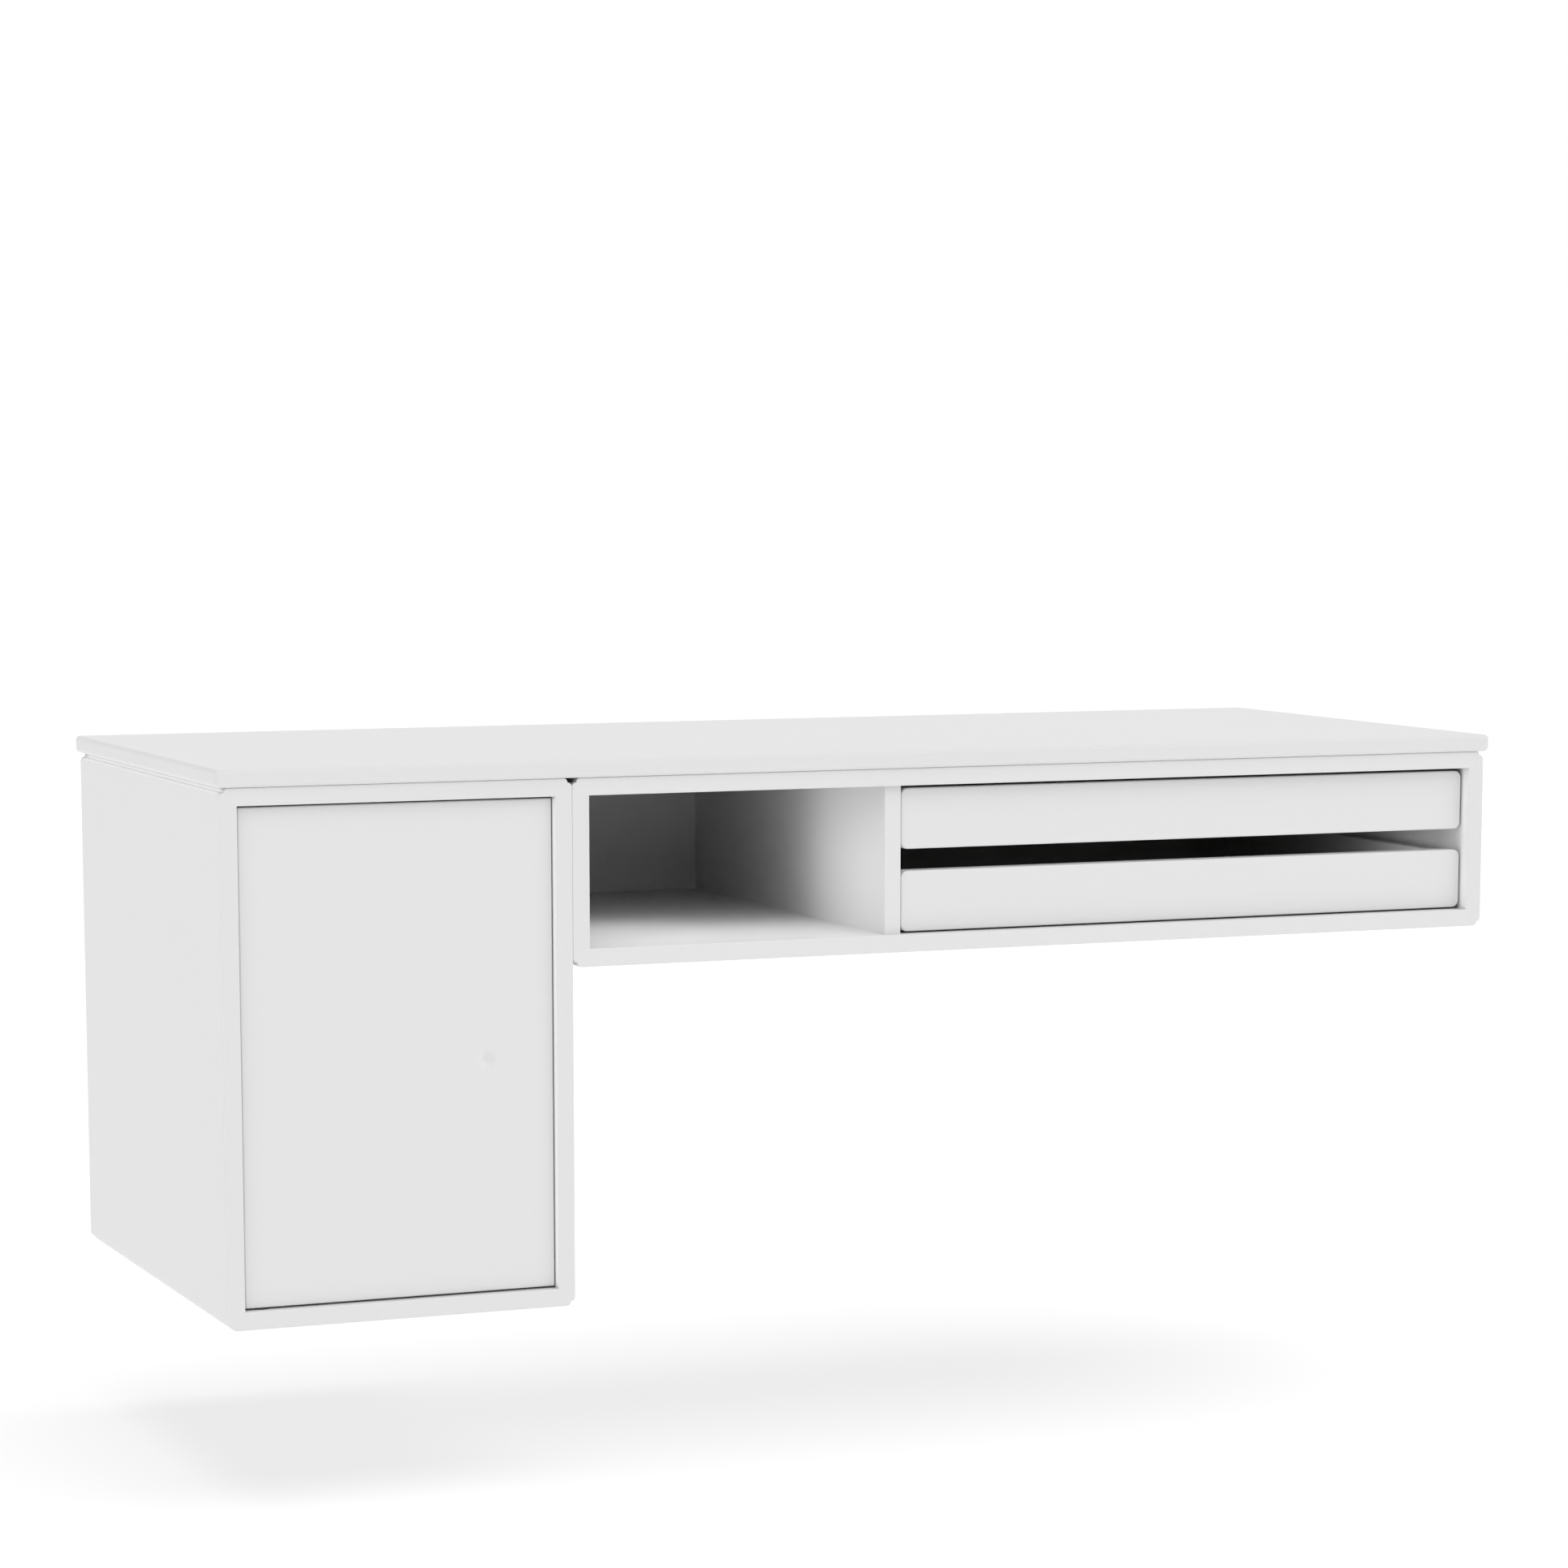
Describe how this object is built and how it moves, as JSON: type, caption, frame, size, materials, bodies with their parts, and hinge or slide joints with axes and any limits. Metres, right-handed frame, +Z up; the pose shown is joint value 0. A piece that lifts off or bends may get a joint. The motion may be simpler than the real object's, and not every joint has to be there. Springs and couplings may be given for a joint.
{
  "type": "floating wall desk",
  "caption": "Floating wall desk: thin white top over a press-to-open cabinet and a low unit with an open bay and pull-out drawers, hung on wall rails.",
  "frame": {"origin": "on the wall plane, in the middle of the four screw holes of the low unit's wall rail", "axes": "+X to the right seen from the front, +Y into the wall, +Z up; the front faces -Y"},
  "size_m": [0.942, 0.375, 0.366],
  "materials": {
    "tabletop_lacquer": "satin white lacquer on fibreboard",
    "carcass_lacquer": "satin white lacquer on fibreboard",
    "door_lacquer": "satin white lacquer on fibreboard",
    "drawer_lacquer": "satin white lacquer on fibreboard",
    "beech": "plain beech, unfinished",
    "runner_nylon": "smooth white nylon",
    "white_nylon": "smooth white nylon",
    "black_nylon": "smooth black nylon",
    "buffer_rubber": "soft grey rubber",
    "zinc_plated_steel": "bright zinc plate",
    "nickel_plated_steel": "satin nickel plate"
  },
  "bodies": {
    "carcass": {"cabinet_back": "carcass_lacquer", "cabinet_bottom": "carcass_lacquer", "cabinet_corner_splines": "beech", "cabinet_hanging_strip": "zinc_plated_steel", "cabinet_left_side": "carcass_lacquer", "cabinet_right_side": "carcass_lacquer", "cabinet_top": "carcass_lacquer", "cabinet_wall_rail": "zinc_plated_steel", "divider_dowels": "beech", "drawer_buffers": "buffer_rubber", "hanging_strip_screws": "zinc_plated_steel", "joining_bolts": "nickel_plated_steel", "joining_nuts": "nickel_plated_steel", "latch_housing": "white_nylon", "latch_screws": "zinc_plated_steel", "lower_hinge_bush": "black_nylon", "lower_left_runner": "runner_nylon", "lower_right_runner": "runner_nylon", "runner_screws": "zinc_plated_steel", "tabletop": "tabletop_lacquer", "tabletop_screws": "zinc_plated_steel", "unit_back": "carcass_lacquer", "unit_bottom": "carcass_lacquer", "unit_corner_splines": "beech", "unit_divider": "carcass_lacquer", "unit_hanging_strip": "zinc_plated_steel", "unit_left_side": "carcass_lacquer", "unit_right_side": "carcass_lacquer", "unit_top": "carcass_lacquer", "unit_wall_rail": "zinc_plated_steel", "upper_hinge_bush": "black_nylon", "upper_left_runner": "runner_nylon", "upper_right_runner": "runner_nylon"},
    "door": {"cabinet_door": "door_lacquer", "strike_plate": "nickel_plated_steel", "upper_hinge_pin": "zinc_plated_steel", "lower_hinge_pin": "zinc_plated_steel"},
    "latch_plunger": {"latch_plunger": "white_nylon", "latch_magnet": "nickel_plated_steel"},
    "upper_drawer": {"upper_drawer_back": "drawer_lacquer", "upper_drawer_bottom": "drawer_lacquer", "upper_drawer_dowels": "beech", "upper_drawer_front": "drawer_lacquer", "upper_drawer_left_side": "drawer_lacquer", "upper_drawer_right_side": "drawer_lacquer"},
    "lower_drawer": {"lower_drawer_back": "drawer_lacquer", "lower_drawer_bottom": "drawer_lacquer", "lower_drawer_dowels": "beech", "lower_drawer_front": "drawer_lacquer", "lower_drawer_left_side": "drawer_lacquer", "lower_drawer_right_side": "drawer_lacquer"}
  },
  "joints": [
    {"name": "door_hinge", "type": "hinge", "parent": "carcass", "child": "door", "pos_m": [-0.56269, -0.3605, -0.107], "axis": [0, 0, -1], "range_deg": [0, 100]},
    {"name": "latch_press", "type": "slide", "parent": "carcass", "child": "latch_plunger", "axis": [0, 1, 0], "range_m": [0, 0.003], "stiffness_N_per_m": 2000},
    {"name": "upper_drawer_slide", "type": "slide", "parent": "carcass", "child": "upper_drawer", "axis": [0, -1, 0], "range_m": [0, 0.24]},
    {"name": "lower_drawer_slide", "type": "slide", "parent": "carcass", "child": "lower_drawer", "axis": [0, -1, 0], "range_m": [0, 0.24]}
  ]
}
